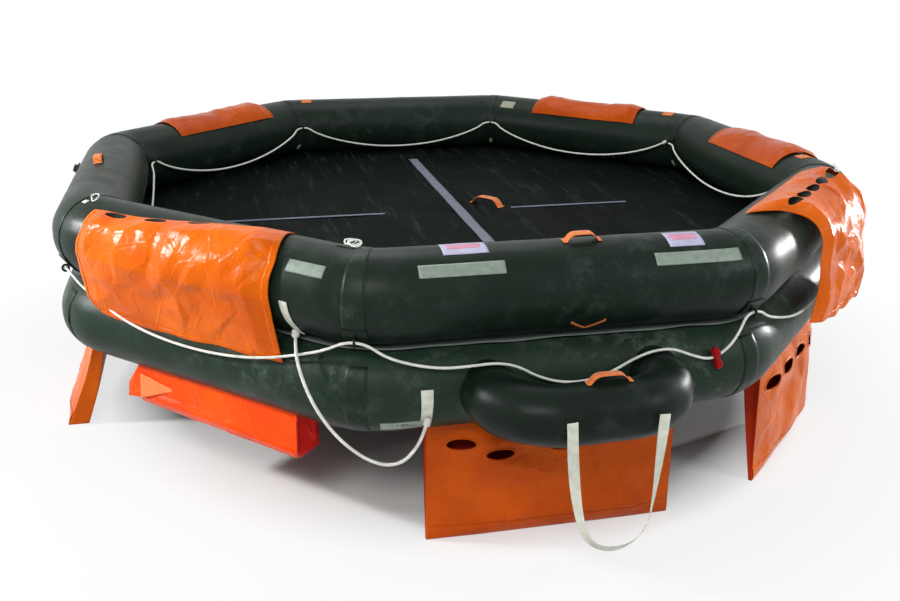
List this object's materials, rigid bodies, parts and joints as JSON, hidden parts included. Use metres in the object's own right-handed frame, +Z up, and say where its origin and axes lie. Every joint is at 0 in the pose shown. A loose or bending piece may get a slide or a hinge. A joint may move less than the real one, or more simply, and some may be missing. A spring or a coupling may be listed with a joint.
{
  "type": "inflatable liferaft",
  "caption": "Open reversible inflatable liferaft: two stacked octagonal tubes, floor, boarding ramp with webbing step, water pockets, lifelines and tow bridle.",
  "frame": {"origin": "bottom centre of the box round the raft without its ropes, on the surface that the pocket hems stand on", "axes": "+Z up, the boarding ramp on the -Y side, +X to the right seen from the ramp"},
  "size_m": [4.2103, 4.5736, 1.3346],
  "materials": {
    "tube_rubber": "dark green-black coated rubber cloth, satin sheen",
    "floor_cloth": "dark rubber-coated floor cloth",
    "orange_cloth": "glossy orange coated cloth with soft creases",
    "red_orange_cloth": "bright red-orange coated cloth, folded",
    "reflective_tape": "grey-green retro-reflective tape",
    "panel_cloth": "pale blank cloth panel",
    "cream_webbing": "cream woven webbing",
    "blue_grey_webbing": "blue-grey woven webbing",
    "rope": "off-white laid rope",
    "cylinder_paint": "grey painted steel",
    "valve_brass": "machined brass",
    "hose_rubber": "black reinforced hose",
    "valve_plastic": "black moulded plastic"
  },
  "bodies": {
    "root": {"lower_buoyancy_tube": "tube_rubber", "upper_buoyancy_tube": "tube_rubber", "floor": "floor_cloth", "boarding_ramp_tube": "tube_rubber", "boarding_ramp_deck": "floor_cloth", "front_lower_pocket": "orange_cloth", "front_right_lower_pocket": "orange_cloth", "right_lower_pocket": "orange_cloth", "back_right_lower_pocket": "orange_cloth", "back_lower_pocket": "orange_cloth", "back_left_lower_pocket": "orange_cloth", "left_lower_pocket": "orange_cloth", "front_left_lower_pocket": "red_orange_cloth", "front_left_upper_pocket": "orange_cloth", "front_right_upper_pocket": "orange_cloth", "right_upper_pocket": "orange_cloth", "back_right_upper_pocket": "orange_cloth", "back_left_upper_pocket": "orange_cloth", "upper_reflective_tapes": "reflective_tape", "lower_reflective_tapes": "reflective_tape", "blank_panels": "panel_cloth", "lacing_patch": "cream_webbing", "front_tube_handle": "orange_cloth", "left_tube_handle": "orange_cloth", "ramp_handle": "orange_cloth", "front_v_strap": "orange_cloth", "floor_long_strap": "blue_grey_webbing", "floor_cross_straps": "blue_grey_webbing", "floor_handle": "orange_cloth", "outer_line_eyes": "tube_rubber", "outer_lifeline_knot": "rope", "outer_lifeline": "rope", "inner_line_eyes": "tube_rubber", "inner_lifeline_knot": "rope", "inner_lifeline": "rope", "tow_patch_upper": "cream_webbing", "tow_patch_lower": "cream_webbing", "tow_bridle_knots": "rope", "tow_bridle": "rope", "boarding_step": "cream_webbing", "gas_cylinder": "cylinder_paint", "cylinder_valve": "valve_brass", "cylinder_straps": "blue_grey_webbing", "inflation_hose": "hose_rubber", "upper_inflation_valve": "valve_plastic", "lower_inflation_valve": "valve_plastic", "upper_relief_valve": "valve_plastic", "lower_relief_valve": "valve_plastic"}
  },
  "joints": []
}
